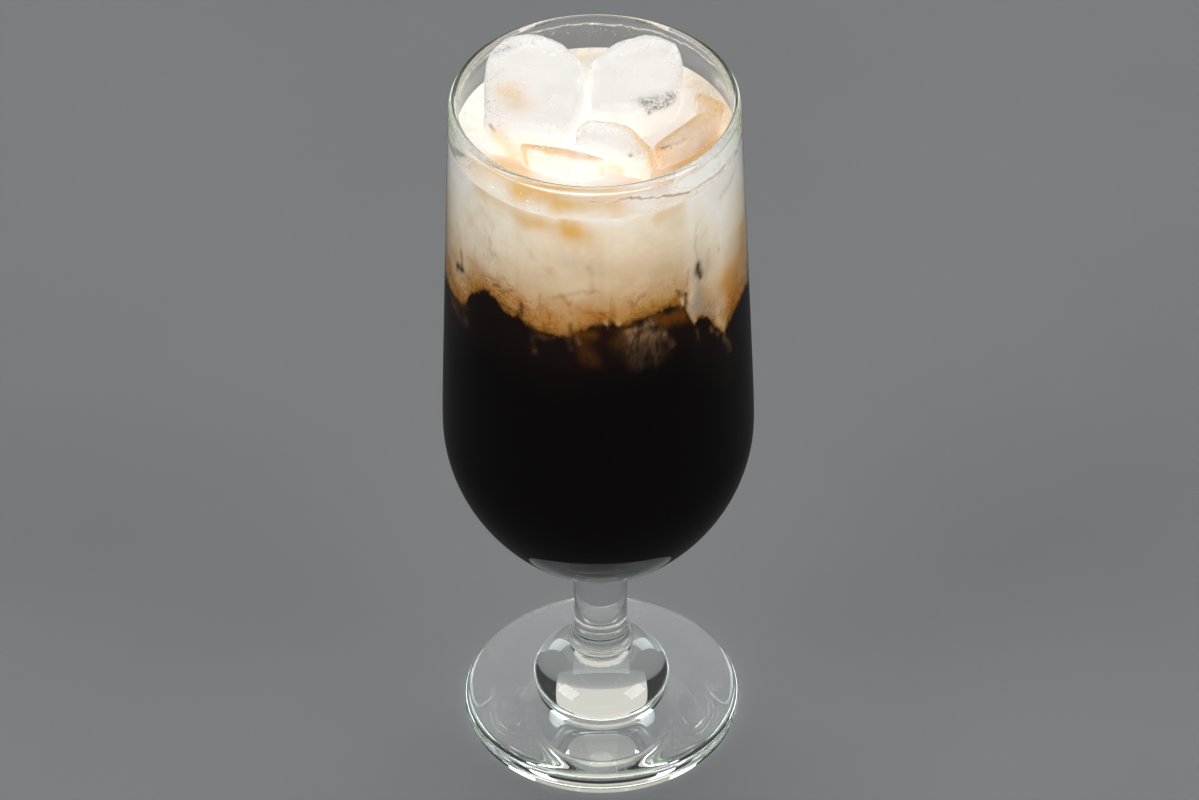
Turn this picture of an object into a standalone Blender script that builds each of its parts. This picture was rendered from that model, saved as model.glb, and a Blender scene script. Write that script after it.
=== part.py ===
"""Thai iced coffee: coffee under milk, with ice, in a footed glass.

The glass is one turned piece, from its rolled rim down to its foot.
Coffee and milk are two solids that fill it, and they meet at an uneven border.
Five pieces of ice stand in the milk, each in its own pocket.
Lengths are in metres, +Z is up, and the foot's underside is centred on the origin.
The side seen first faces -Y, and azimuths turn from there towards +X.
"""

import math

import bmesh
import bpy
from mathutils import Vector, noise

# Driving sizes of the glass
GLASS_HEIGHT = 0.190
RIM_ROLL_RADIUS = 0.0010
RIM_RADIUS = 0.0325
BELLY_HEIGHT = 0.0946
BELLY_RADIUS = 0.03746
BOWL_DEPTH = 0.0490
BOWL_LEAN = 0.0040
WALL_THICKNESS = 0.0018
FLOOR_THICKNESS = 0.0030
STEM_TOP_RADIUS = 0.0070
STEM_TOP_HEIGHT = 0.0465
COLLAR_RADIUS = 0.0083
COLLAR_HEIGHT = 0.0222
KNOP_RADIUS = 0.0170
KNOP_HALF_HEIGHT = 0.0097
KNOP_HEIGHT = 0.0096
FOOT_RADIUS = 0.0349
FOOT_EDGE_THICKNESS = 0.0046

# Shape of the bowl's curves
BOWL_POWER = 0.767
LEAN_SOFTNESS = 0.062
WALL_CROWDING = 1.4
STEM_MEETS_BOWL_ANGLE = 22.5
ROLL_ANGLES = (215.0, -35.0)
ROLL_CLEARANCE = 1.2

# Curves of the stem and the foot: each pair is a radius and a height
STEM_HANDLES = ((0.0065, 0.0410), (0.0060, 0.0310))
COLLAR_SHOULDER = (0.0007, 0.0013)
COLLAR_ROLL_RADIUS = 0.0009
COLLAR_ANGLES = (60.0, -75.0)
GROOVE_INSET = 0.0011
GROOVE_DROP = 0.0018
KNOP_ANGLES = (63.0, -20.0)
DISC_START = (0.0166, 0.0060)
DISC_HANDLES = ((0.0200, 0.0053), (0.0270, 0.0049))
FOOT_TOP_INSET = 0.0026
FOOT_EDGE_HANDLES = ((0.0, 0.0044), (0.0003, 0.0008))
FOOT_UNDERSIDE_INSET = 0.0014

# How finely each curve is drawn
TURN_STEPS = 56
INNER_CUP_STEPS = 9
OUTER_CUP_STEPS = 8
WALL_STEPS = 5
ROLL_STEPS = 6
STEM_STEPS = 6
COLLAR_STEPS = 3
KNOP_STEPS = 8
DISC_STEPS = 3
FOOT_EDGE_STEPS = 5
SAME_POINT = 1e-6
MERGE_DISTANCE = 0.00001

# The drink
DRINK_LEVEL = 0.1803
MENISCUS_RISE = 0.0006
MENISCUS_WIDTH = 0.0025
BORDER_SIDE_HEIGHT = 0.1320
BORDER_FRONT_RISE = 0.0185
BORDER_FRONT_SPREAD = 1.9
BORDER_WAVE = 0.0016
BORDER_WAVE_LENGTH = 0.011
BORDER_CELLS = 22
BORDER_BLOCK_MARGIN = 0.002
FIT_GAP = 0.0003

# Tongues of milk that hang in the coffee, and lifts where coffee climbs:
# azimuth in degrees, drop (a lift is negative) and width
BORDER_TONGUES = (
    (41.0, 0.0080, 0.0030),
    (58.0, 0.0130, 0.0042),
    (-47.0, -0.0035, 0.0050),
    (-16.0, 0.0020, 0.0060),
    (128.0, 0.0060, 0.0060),
    (-150.0, 0.0070, 0.0050),
)

# The ice
ICE_UNEVENNESS = 0.0005
ICE_LUMP_LENGTH = 0.009
ICE_SEED = 7
ICE_SHARP_ANGLE = 40.0

# Each piece: corners of its plan, counter-clockwise, then the heights of its underside and of its
# top over the plan's middle, the slopes of its top along X and Y, and how far edges are rounded
ICE_PIECES = {
    "ice_left": {
        "plan": (
            (-0.0256, -0.0065), (-0.0190, -0.0093), (-0.0074, -0.0109), (-0.0048, -0.0048),
            (-0.0024, 0.0010), (-0.0024, 0.0160), (-0.0078, 0.0226), (-0.0140, 0.0254),
            (-0.0205, 0.0236), (-0.0252, 0.0186),
        ),
        "underside": 0.1650, "top": 0.1902, "slope": (-0.015, 0.085), "rounding": 0.0026,
    },
    "ice_right": {
        "plan": (
            (-0.0013, -0.0023), (0.0090, -0.0028), (0.0182, 0.0025), (0.0208, 0.0125),
            (0.0198, 0.0218), (0.0132, 0.0256), (0.0062, 0.0238), (-0.0014, 0.0165),
        ),
        "underside": 0.1660, "top": 0.1898, "slope": (0.010, 0.085), "rounding": 0.0027,
    },
    "ice_front": {
        "plan": (
            (-0.0049, -0.0116), (0.0040, -0.0150), (0.0126, -0.0186), (0.0134, -0.0138),
            (0.0084, -0.0064), (0.0048, -0.0040), (-0.0017, -0.0038), (-0.0043, -0.0066),
        ),
        "underside": 0.1720, "top": 0.1870, "slope": (-0.02, 0.06), "rounding": 0.0014,
    },
    "ice_slab": {
        "plan": (
            (-0.0154, -0.0133), (-0.0110, -0.0153), (-0.0036, -0.0181), (0.0006, -0.0177),
            (0.0027, -0.0164), (-0.0060, -0.0130), (-0.0173, -0.0105),
        ),
        "underside": 0.1700, "top": 0.1863, "slope": (0.0, 0.05), "rounding": 0.0008,
    },
    "ice_amber": {
        "plan": (
            (0.0143, -0.0142), (0.0224, -0.0092), (0.0289, -0.0014), (0.0300, 0.0046),
            (0.0230, 0.0084), (0.0234, 0.0006), (0.0134, -0.0114),
        ),
        "underside": 0.1680, "top": 0.1860, "slope": (0.0, 0.01), "rounding": 0.0010,
    },
}


def clear_scene():
    """Start from an empty scene."""
    for old_object in list(bpy.data.objects):
        bpy.data.objects.remove(old_object, do_unlink=True)


def make_collection(name):
    """Add a collection to the scene."""
    collection = bpy.data.collections.new(name)
    bpy.context.scene.collection.children.link(collection)
    return collection


def make_material(name, colour, roughness, transmission=0.0):
    """A plain Principled material."""
    material = bpy.data.materials.new(name)
    material.use_nodes = True
    shader = material.node_tree.nodes["Principled BSDF"]
    shader.inputs["Base Color"].default_value = (*colour, 1.0)
    shader.inputs["Roughness"].default_value = roughness
    shader.inputs["Metallic"].default_value = 0.0
    shader.inputs["Transmission Weight"].default_value = transmission
    return material


def glass_material():
    """Clear soda glass with a faint green cast."""
    return make_material("clear_glass", (0.94, 0.97, 0.94), 0.02, transmission=1.0)


def coffee_material():
    """Strong black coffee."""
    return make_material("black_coffee", (0.012, 0.006, 0.004), 0.08)


def milk_material():
    """Creamy milk with a little coffee in it."""
    return make_material("creamy_milk", (0.80, 0.68, 0.52), 0.25)


def ice_material():
    """Cloudy ice."""
    return make_material("cloudy_ice", (0.93, 0.93, 0.91), 0.12, transmission=0.6)


def arc(centre, radii, start, end, count):
    """Points on an ellipse; the angles are in degrees from the radial direction, up is positive."""
    points = []
    for step in range(count + 1):
        angle = math.radians(start + (end - start) * step / count)
        points.append((
            centre[0] + radii[0] * math.cos(angle),
            centre[1] + radii[1] * math.sin(angle),
        ))
    return points


def bezier(start, handle_a, handle_b, end, count):
    """Points on one cubic curve."""
    points = []
    for step in range(count + 1):
        t = step / count
        weights = ((1 - t) ** 3, 3 * t * (1 - t) ** 2, 3 * (1 - t) * t ** 2, t ** 3)
        corners = (start, handle_a, handle_b, end)
        points.append(tuple(
            sum(weight * corner[axis] for weight, corner in zip(weights, corners))
            for axis in range(2)
        ))
    return points


def cup_curve(radius, depth, count, lowest_angle=0.0):
    """The rounded lower half of the bowl, from its pole up to the belly."""
    points = []
    for step in range(count + 1):
        angle = math.radians(lowest_angle + (90.0 - lowest_angle) * step / count)
        points.append((
            radius * math.sin(angle) ** (2 * BOWL_POWER),
            BELLY_HEIGHT - depth * math.cos(angle),
        ))
    return points


def wall_radius(height, radius):
    """The leaning wall above the belly: a hyperbola that starts upright."""
    share = (height - BELLY_HEIGHT) / (GLASS_HEIGHT - BELLY_HEIGHT)
    soft = math.hypot(share, LEAN_SOFTNESS) - LEAN_SOFTNESS
    full = math.hypot(1.0, LEAN_SOFTNESS) - LEAN_SOFTNESS
    return radius - BOWL_LEAN * soft / full


def wall_curve(radius, top, count):
    """The wall from just above the belly up to a height, closer together where it bends."""
    points = []
    for step in range(1, count + 1):
        height = BELLY_HEIGHT + (top - BELLY_HEIGHT) * (step / count) ** WALL_CROWDING
        points.append((wall_radius(height, radius), height))
    return points


def joined(*runs):
    """One list of points, without a point repeated where two runs meet."""
    points = []
    for run in runs:
        for point in run:
            if not points or math.dist(point, points[-1]) > SAME_POINT:
                points.append(point)
    return points


def glass_profile():
    """Half section of the glass: up its inner side, over the rim, down its outer side."""
    inner_radius = BELLY_RADIUS - WALL_THICKNESS
    inner_depth = BOWL_DEPTH - FLOOR_THICKNESS
    roll_height = GLASS_HEIGHT - RIM_ROLL_RADIUS
    wall_top = roll_height - ROLL_CLEARANCE * RIM_ROLL_RADIUS
    inner_cup = cup_curve(inner_radius, inner_depth, INNER_CUP_STEPS)
    inner_wall = wall_curve(inner_radius, wall_top, WALL_STEPS)
    roll_centre = (RIM_RADIUS, roll_height)
    roll = arc(roll_centre, (RIM_ROLL_RADIUS, RIM_ROLL_RADIUS), *ROLL_ANGLES, ROLL_STEPS)
    outer_cup = cup_curve(BELLY_RADIUS, BOWL_DEPTH, OUTER_CUP_STEPS, STEM_MEETS_BOWL_ANGLE)
    outer_side = (outer_cup + wall_curve(BELLY_RADIUS, wall_top, WALL_STEPS))[::-1]
    return joined(inner_cup, inner_wall, roll, outer_side, stem_profile(), foot_profile())


def stem_profile():
    """The drawn stem: a tight hollow under the bowl, a slight waist, a collar and a groove."""
    under_bowl = (STEM_TOP_RADIUS, STEM_TOP_HEIGHT)
    inset, rise = COLLAR_SHOULDER
    over_collar = (COLLAR_RADIUS - inset, COLLAR_HEIGHT + rise)
    waist = bezier(under_bowl, *STEM_HANDLES, over_collar, STEM_STEPS)
    roll_centre = (COLLAR_RADIUS - COLLAR_ROLL_RADIUS, COLLAR_HEIGHT)
    roll_radii = (COLLAR_ROLL_RADIUS, COLLAR_ROLL_RADIUS)
    collar = arc(roll_centre, roll_radii, *COLLAR_ANGLES, COLLAR_STEPS)
    groove = [(COLLAR_RADIUS - GROOVE_INSET, COLLAR_HEIGHT - GROOVE_DROP)]
    return joined(waist, collar, groove)


def foot_profile():
    """The knop, the disc that it stands on and the flat underside."""
    knop = arc((0.0, KNOP_HEIGHT), (KNOP_RADIUS, KNOP_HALF_HEIGHT), *KNOP_ANGLES, KNOP_STEPS)
    top_edge = (FOOT_RADIUS - FOOT_TOP_INSET, FOOT_EDGE_THICKNESS)
    disc_top = bezier(DISC_START, *DISC_HANDLES, top_edge, DISC_STEPS)
    handles = [(FOOT_RADIUS + outward, height) for outward, height in FOOT_EDGE_HANDLES]
    underside_edge = (FOOT_RADIUS - FOOT_UNDERSIDE_INSET, 0.0)
    round_edge = bezier(top_edge, *handles, underside_edge, FOOT_EDGE_STEPS)
    return joined(knop, disc_top, round_edge, [(0.0, 0.0)])


def drink_profile():
    """Half section of all the drink, a little clear of the glass."""
    radius = BELLY_RADIUS - WALL_THICKNESS - FIT_GAP
    depth = BOWL_DEPTH - FLOOR_THICKNESS - FIT_GAP
    edge_height = DRINK_LEVEL + MENISCUS_RISE
    edge_radius = wall_radius(edge_height, radius)
    surface = [(0.0, DRINK_LEVEL), (edge_radius - MENISCUS_WIDTH, DRINK_LEVEL)]
    cup = cup_curve(radius, depth, INNER_CUP_STEPS)
    side = (cup + wall_curve(radius, edge_height, WALL_STEPS))[::-1]
    return joined(surface, side)


def add_turned(name, profile, collection, material):
    """Turn a half section round the Z axis with a Screw modifier."""
    mesh = bpy.data.meshes.new(name)
    points = [(radius, 0.0, height) for radius, height in profile]
    edges = [(index, index + 1) for index in range(len(points) - 1)]
    mesh.from_pydata(points, edges, [])
    mesh.materials.append(material)
    turned = bpy.data.objects.new(name, mesh)
    collection.objects.link(turned)
    screw = turned.modifiers.new("turn", "SCREW")
    screw.axis = "Z"
    screw.steps = TURN_STEPS
    screw.render_steps = TURN_STEPS
    screw.use_merge_vertices = True
    screw.merge_threshold = MERGE_DISTANCE
    screw.use_smooth_shade = True
    return turned


def add_boolean(target, operation, cutter):
    """Cut a target with another object, or keep what both share."""
    cut = target.modifiers.new(operation.lower() + "_" + cutter.name, "BOOLEAN")
    cut.operation = operation
    cut.solver = "EXACT"
    cut.object = cutter


def hide_cutter(cutter):
    """Mark an object as a tool that is not part of the model."""
    cutter.hide_render = True
    cutter.display_type = "WIRE"


def border_height(x, y):
    """Height where coffee ends and milk begins, at one place in the glass."""
    radius = math.hypot(x, y)
    reach = min(1.0, radius / BELLY_RADIUS)
    towards_front = -y / max(radius, SAME_POINT)
    front = math.tanh(BORDER_FRONT_SPREAD * max(towards_front, 0.0))
    height = BORDER_SIDE_HEIGHT + BORDER_FRONT_RISE * (front * reach + 0.5 * (1.0 - reach))
    height += BORDER_WAVE * noise.noise(Vector((x, y, 0.0)) / BORDER_WAVE_LENGTH)
    for azimuth, drop, width in BORDER_TONGUES:
        angle = math.radians(azimuth)
        across = x - BELLY_RADIUS * math.sin(angle)
        along = y + BELLY_RADIUS * math.cos(angle)
        height -= drop * math.exp(-(across ** 2 + along ** 2) / (2 * width ** 2))
    return height


def add_border_block(name, lift, collection):
    """A block whose top is the border, lifted by a gap, and which holds all that lies below it."""
    half_width = BELLY_RADIUS + BORDER_BLOCK_MARGIN
    bottom = BELLY_HEIGHT - BOWL_DEPTH - BORDER_BLOCK_MARGIN
    mesh = bpy.data.meshes.new(name)
    sheet = bmesh.new()
    bmesh.ops.create_grid(sheet, x_segments=BORDER_CELLS, y_segments=BORDER_CELLS, size=half_width)
    for vertex in sheet.verts:
        vertex.co.z = border_height(vertex.co.x, vertex.co.y) + lift
    lowered = bmesh.ops.extrude_face_region(sheet, geom=sheet.faces[:])
    for element in lowered["geom"]:
        if isinstance(element, bmesh.types.BMVert):
            element.co.z = bottom
    bmesh.ops.recalc_face_normals(sheet, faces=sheet.faces[:])
    sheet.to_mesh(mesh)
    sheet.free()
    block = bpy.data.objects.new(name, mesh)
    collection.objects.link(block)
    hide_cutter(block)
    return block


def ice_mesh(name, piece, growth):
    """A many-sided block of ice: a prism on its plan, rounded, made uneven and grown by a gap."""
    corners = piece["plan"]
    middle = [sum(values) / len(corners) for values in zip(*corners)]
    slope_x, slope_y = piece["slope"]
    prism = bmesh.new()
    bmesh.ops.create_cone(prism, cap_ends=True, segments=len(corners), radius1=1, radius2=1, depth=2)
    turning = sorted(prism.verts, key=lambda vertex: math.atan2(vertex.co.y, vertex.co.x))
    upper_ring = [vertex for vertex in turning if vertex.co.z > 0]
    lower_ring = [vertex for vertex in turning if vertex.co.z < 0]
    for upper, lower, (x, y) in zip(upper_ring, lower_ring, corners):
        rise = slope_x * (x - middle[0]) + slope_y * (y - middle[1])
        upper.co = (x, y, piece["top"] + rise)
        lower.co = (x, y, piece["underside"])
    bmesh.ops.recalc_face_normals(prism, faces=prism.faces[:])
    bmesh.ops.bevel(prism, geom=prism.edges[:], offset=piece["rounding"], segments=2,
                    profile=0.5, affect="EDGES", clamp_overlap=True)
    bmesh.ops.triangulate(prism, faces=prism.faces[:])
    prism.normal_update()
    shift = Vector((ICE_SEED, 0.0, 0.0))
    normals = [vertex.normal.copy() for vertex in prism.verts]
    for vertex, normal in zip(prism.verts, normals):
        lump = noise.noise(vertex.co / ICE_LUMP_LENGTH + shift)
        vertex.co += normal * (ICE_UNEVENNESS * lump + growth)
    mesh = bpy.data.meshes.new(name)
    prism.to_mesh(mesh)
    prism.free()
    return mesh


def add_ice(name, piece, collection, material):
    """One piece of ice."""
    mesh = ice_mesh(name, piece, 0.0)
    mesh.materials.append(material)
    mesh.shade_smooth()
    mesh.set_sharp_from_angle(angle=math.radians(ICE_SHARP_ANGLE))
    block = bpy.data.objects.new(name, mesh)
    collection.objects.link(block)
    return block


def add_ice_pocket(name, piece, collection):
    """The tool that leaves room in the milk for one piece of ice."""
    pocket = bpy.data.objects.new("pocket_" + name, ice_mesh("pocket_" + name, piece, FIT_GAP))
    collection.objects.link(pocket)
    hide_cutter(pocket)
    return pocket


def add_drink(parts, cutters):
    """Coffee below the border and milk above it, with pockets for the ice."""
    coffee = add_turned("coffee", drink_profile(), parts, coffee_material())
    add_boolean(coffee, "INTERSECT", add_border_block("coffee_side", 0.0, cutters))
    milk = add_turned("milk", drink_profile(), parts, milk_material())
    add_boolean(milk, "DIFFERENCE", add_border_block("milk_side", FIT_GAP, cutters))
    for name, piece in ICE_PIECES.items():
        add_boolean(milk, "DIFFERENCE", add_ice_pocket(name, piece, cutters))


def main():
    """Build the glass, the drink and the ice."""
    clear_scene()
    parts = make_collection("thai_iced_coffee")
    cutters = make_collection("cutters")
    add_turned("glass", glass_profile(), parts, glass_material())
    add_drink(parts, cutters)
    ice = ice_material()
    for name, piece in ICE_PIECES.items():
        add_ice(name, piece, parts, ice)


main()
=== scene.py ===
# %% [markdown]
# # Iced coffee with milk, in a footed glass
# The solids of the glass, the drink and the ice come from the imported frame, at their real size.
# This lesson dresses them: it turns a finer glass, pours coffee and milk into it, roughens the
# ice, and adds the small wet things that make a drink look real. Lengths are in metres.

# %% Load the frame
import math

import bmesh
import bpy
import numpy as np
from mathutils import Matrix, Vector, noise


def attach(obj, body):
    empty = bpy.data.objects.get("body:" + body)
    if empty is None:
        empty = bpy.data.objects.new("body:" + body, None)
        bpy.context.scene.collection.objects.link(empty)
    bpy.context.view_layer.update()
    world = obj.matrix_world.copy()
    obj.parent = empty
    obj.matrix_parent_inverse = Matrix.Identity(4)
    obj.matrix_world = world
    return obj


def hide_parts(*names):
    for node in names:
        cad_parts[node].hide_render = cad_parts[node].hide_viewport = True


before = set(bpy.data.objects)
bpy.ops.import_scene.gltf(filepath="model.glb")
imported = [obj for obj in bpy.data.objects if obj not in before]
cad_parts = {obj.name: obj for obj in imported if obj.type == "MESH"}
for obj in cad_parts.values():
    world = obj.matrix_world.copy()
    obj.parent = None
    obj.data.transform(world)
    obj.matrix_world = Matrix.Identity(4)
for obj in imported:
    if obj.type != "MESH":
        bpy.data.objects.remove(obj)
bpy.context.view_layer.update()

# %% [markdown]
# ## Small helpers
# Colours are read from the photograph as screen values, from 0 to 255. Blender's shaders work on
# linear light, so one helper turns the first into the second. The others add a node whose inputs
# are numbers or other nodes' outputs, and make a mesh object that stays at the origin, with its
# place in its mesh.

# %% Colours
def screen_colour(red, green, blue):
    """A screen colour, 0 to 255, as linear light."""
    channels = []
    for value in (red, green, blue):
        share = value / 255.0
        channels.append(share / 12.92 if share <= 0.04045 else ((share + 0.055) / 1.055) ** 2.4)
    return (*channels, 1.0)


WHITE = (1.0, 1.0, 1.0, 1.0)
print("mid grey on a screen, as linear light:", screen_colour(128, 128, 128)[0])

# %% Nodes and materials
def fill_inputs(tree, node, values):
    """Link an input to a socket, or else set it to a plain value."""
    for key, value in values.items():
        if isinstance(value, bpy.types.NodeSocket):
            tree.links.new(value, node.inputs[key])
        else:
            node.inputs[key].default_value = value


def add_node(tree, kind, settings=None, values=None):
    """Add a node, set its properties and fill its inputs."""
    node = tree.nodes.new(kind)
    for key, value in (settings or {}).items():
        setattr(node, key, value)
    fill_inputs(tree, node, values or {})
    return node


def new_material(name):
    """A material, its nodes, its Principled shader and the place that patterns read."""
    material = bpy.data.materials.new(name)
    material.use_nodes = True
    tree = material.node_tree
    place = add_node(tree, "ShaderNodeTexCoord").outputs["Object"]
    return material, tree, tree.nodes["Principled BSDF"], place


# %% Meshes and objects
def mesh_from(name, shape):
    """Write an edited shape into a new mesh and free the shape."""
    mesh = bpy.data.meshes.new(name)
    shape.to_mesh(mesh)
    shape.free()
    return mesh


def new_object(name, mesh, material=None):
    """Put a mesh into the scene as an object that stays at the origin."""
    made = bpy.data.objects.new(name, mesh)
    bpy.context.scene.collection.objects.link(made)
    if material is not None:
        mesh.materials.clear()
        mesh.materials.append(material)
    return made


def finished_copy(made):
    """Replace an object's modifiers by the mesh that they give."""
    graph = bpy.context.evaluated_depsgraph_get()
    mesh = bpy.data.meshes.new_from_object(made.evaluated_get(graph))
    made.modifiers.clear()
    made.data = mesh
    return made


def triangle_count(made):
    """How many triangles an object's mesh has."""
    return sum(len(face.vertices) - 2 for face in made.data.polygons)


# %% [markdown]
# ## The shape of the bowl
# The bowl is turned, so one half section gives all of it. Below the belly the section is a
# rounded cup. Above it the wall leans in along a soft curve to the rolled rim. The same two
# rules give the outer side, the inner side and the edge of the drink, with other radii.

# %% Sizes of the glass and its section
GLASS_HEIGHT = 0.190
RIM_ROLL_RADIUS = 0.0010
RIM_RADIUS = 0.0325
BELLY_HEIGHT = 0.0946
BELLY_RADIUS = 0.03746
BOWL_DEPTH = 0.0490
BOWL_LEAN = 0.0040
WALL_THICKNESS = 0.0018
FLOOR_THICKNESS = 0.0030
BOWL_POWER = 0.767
LEAN_SOFTNESS = 0.062
INNER_RADIUS = BELLY_RADIUS - WALL_THICKNESS
INNER_DEPTH = BOWL_DEPTH - FLOOR_THICKNESS


def cup_curve(radius, depth, count, lowest_angle=0.0):
    """The rounded lower half of the bowl, from its pole up to the belly."""
    points = []
    for step in range(count + 1):
        angle = math.radians(lowest_angle + (90.0 - lowest_angle) * step / count)
        points.append((
            radius * math.sin(angle) ** (2 * BOWL_POWER),
            BELLY_HEIGHT - depth * math.cos(angle),
        ))
    return points


def bowl_radius(height, radius, depth):
    """The bowl's radius at a height, for a given belly radius and cup depth."""
    if height < BELLY_HEIGHT:
        share = min(1.0, (BELLY_HEIGHT - height) / depth)
        return radius * (1.0 - share ** 2) ** BOWL_POWER
    share = (height - BELLY_HEIGHT) / (GLASS_HEIGHT - BELLY_HEIGHT)
    soft = math.hypot(share, LEAN_SOFTNESS) - LEAN_SOFTNESS
    full = math.hypot(1.0, LEAN_SOFTNESS) - LEAN_SOFTNESS
    return radius - BOWL_LEAN * soft / full


def wall_curve(radius, top, count):
    """The wall from just above the belly up to a height."""
    points = []
    for step in range(1, count + 1):
        height = BELLY_HEIGHT + (top - BELLY_HEIGHT) * (step / count) ** 1.4
        points.append((bowl_radius(height, radius, BOWL_DEPTH), height))
    return points


print("inner radius at the belly, in metres:", INNER_RADIUS)

# %% [markdown]
# ## The glass
# A footed glass is pressed and then fire polished, so every edge is soft. Its section runs up the
# inner side, over the rolled rim, down the outer side, and along the stem, the collar, the knop
# and the disc of the foot. A Screw modifier turns it, in steps fine enough for clean
# refraction, and the result becomes a plain mesh.

# %% Section of the glass
STEM_TOP = (0.0070, 0.0465)
COLLAR_RADIUS = 0.0083
COLLAR_HEIGHT = 0.0222
KNOP_RADIUS = 0.0170
KNOP_HALF_HEIGHT = 0.0097
KNOP_HEIGHT = 0.0096
FOOT_RADIUS = 0.0349
FOOT_EDGE_THICKNESS = 0.0046


def arc(centre, radii, start, end, count):
    """Points on an ellipse; angles in degrees from the radial direction, up is positive."""
    points = []
    for step in range(count + 1):
        angle = math.radians(start + (end - start) * step / count)
        points.append((
            centre[0] + radii[0] * math.cos(angle),
            centre[1] + radii[1] * math.sin(angle),
        ))
    return points


def bezier(start, handle_a, handle_b, end, count):
    """Points on one cubic curve."""
    points = []
    for step in range(count + 1):
        t = step / count
        weights = ((1 - t) ** 3, 3 * t * (1 - t) ** 2, 3 * (1 - t) * t ** 2, t ** 3)
        corners = (start, handle_a, handle_b, end)
        points.append(tuple(
            sum(weight * corner[axis] for weight, corner in zip(weights, corners))
            for axis in range(2)
        ))
    return points


def joined(*runs):
    """One list of points, without a point repeated where two runs meet."""
    points = []
    for run in runs:
        for point in run:
            if not points or math.dist(point, points[-1]) > 1e-6:
                points.append(point)
    return points


def stem_section():
    """The drawn stem: a tight hollow under the bowl, a slight waist, a collar and a groove."""
    over_collar = (COLLAR_RADIUS - 0.0007, COLLAR_HEIGHT + 0.0013)
    waist = bezier(STEM_TOP, (0.0065, 0.0410), (0.0060, 0.0310), over_collar, 24)
    collar = arc((COLLAR_RADIUS - 0.0009, COLLAR_HEIGHT), (0.0009, 0.0009), 60, -75, 10)
    groove = [(COLLAR_RADIUS - 0.0011, COLLAR_HEIGHT - 0.0018)]
    return joined(waist, collar, groove)


def foot_section():
    """The knop, the disc that it stands on and the flat underside."""
    knop = arc((0.0, KNOP_HEIGHT), (KNOP_RADIUS, KNOP_HALF_HEIGHT), 63, -20, 36)
    top_edge = (FOOT_RADIUS - 0.0026, FOOT_EDGE_THICKNESS)
    disc_top = bezier((0.0166, 0.0060), (0.0200, 0.0053), (0.0270, 0.0049), top_edge, 12)
    round_edge = bezier(top_edge, (FOOT_RADIUS, 0.0044), (FOOT_RADIUS + 0.0003, 0.0008),
                        (FOOT_RADIUS - 0.0014, 0.0), 16)
    return joined(knop, disc_top, round_edge, [(0.0, 0.0)])


def glass_section():
    """Half section of the glass: up its inner side, over the rim, down its outer side."""
    roll_height = GLASS_HEIGHT - RIM_ROLL_RADIUS
    wall_top = roll_height - 1.2 * RIM_ROLL_RADIUS
    inner = cup_curve(INNER_RADIUS, INNER_DEPTH, 40) + wall_curve(INNER_RADIUS, wall_top, 30)
    roll = arc((RIM_RADIUS, roll_height), (RIM_ROLL_RADIUS, RIM_ROLL_RADIUS), 215, -35, 20)
    outer_cup = cup_curve(BELLY_RADIUS, BOWL_DEPTH, 36, lowest_angle=22.5)
    outer = (outer_cup + wall_curve(BELLY_RADIUS, wall_top, 30))[::-1]
    return joined(inner, roll, outer, stem_section(), foot_section())


print("the half section has", len(glass_section()), "points")

# %% Turn the glass
TURN_STEPS = 144


def turned(name, section, steps):
    """Turn a half section round the Z axis and keep the finished mesh."""
    mesh = bpy.data.meshes.new(name)
    points = [(radius, 0.0, height) for radius, height in section]
    mesh.from_pydata(points, [(index, index + 1) for index in range(len(points) - 1)], [])
    made = new_object(name, mesh)
    screw = made.modifiers.new("turn", "SCREW")
    screw.axis = "Z"
    screw.steps = steps
    screw.render_steps = steps
    screw.use_merge_vertices = True
    screw.merge_threshold = 0.000001
    screw.use_smooth_shade = True
    return finished_copy(made)


glass = turned("polished_glass", glass_section(), TURN_STEPS)
print("the turned glass has", triangle_count(glass), "triangles")

# %% [markdown]
# ## A noise that drifts
# Every finish here needs the same thing: a noise whose own coordinates can be pushed about by a
# slower noise, so that it curls as liquids do. It is a group, built once, and each material gives
# it its own scale, stretch and push.

# %% The drifting noise group
def drifting_noise_group():
    """A noise that is stretched along Z and bent by a slower one."""
    group = bpy.data.node_groups.new("drifting_noise", "ShaderNodeTree")
    face = group.interface
    face.new_socket("Vector", in_out="INPUT", socket_type="NodeSocketVector")
    for label, value in (("Scale", 200.0), ("Height Stretch", 1.0), ("Push", 0.004),
                         ("Push Scale", 60.0), ("Detail", 3.0)):
        socket = face.new_socket(label, in_out="INPUT", socket_type="NodeSocketFloat")
        socket.default_value = value
    face.new_socket("Value", in_out="OUTPUT", socket_type="NodeSocketFloat")
    given = add_node(group, "NodeGroupInput").outputs
    slow = add_node(group, "ShaderNodeTexNoise", values={
        "Vector": given["Vector"], "Scale": given["Push Scale"], "Detail": 2.0})
    centre = add_node(group, "ShaderNodeVectorMath", {"operation": "SUBTRACT"}, {
        0: slow.outputs["Color"], 1: (0.5, 0.5, 0.5)})
    push = add_node(group, "ShaderNodeVectorMath", {"operation": "SCALE"}, {
        0: centre.outputs[0], "Scale": given["Push"]})
    moved = add_node(group, "ShaderNodeVectorMath", {"operation": "ADD"}, {
        0: given["Vector"], 1: push.outputs[0]})
    squeeze = add_node(group, "ShaderNodeMath", {"operation": "DIVIDE"}, {
        0: 1.0, 1: given["Height Stretch"]})
    stretch = add_node(group, "ShaderNodeCombineXYZ", values={
        "X": 1.0, "Y": 1.0, "Z": squeeze.outputs[0]})
    scaled = add_node(group, "ShaderNodeVectorMath", {"operation": "MULTIPLY"}, {
        0: moved.outputs[0], 1: stretch.outputs[0]})
    fine = add_node(group, "ShaderNodeTexNoise", values={
        "Vector": scaled.outputs[0], "Scale": given["Scale"], "Detail": given["Detail"],
        "Roughness": 0.55})
    add_node(group, "NodeGroupOutput", values={"Value": fine.outputs["Fac"]})
    return group


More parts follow.
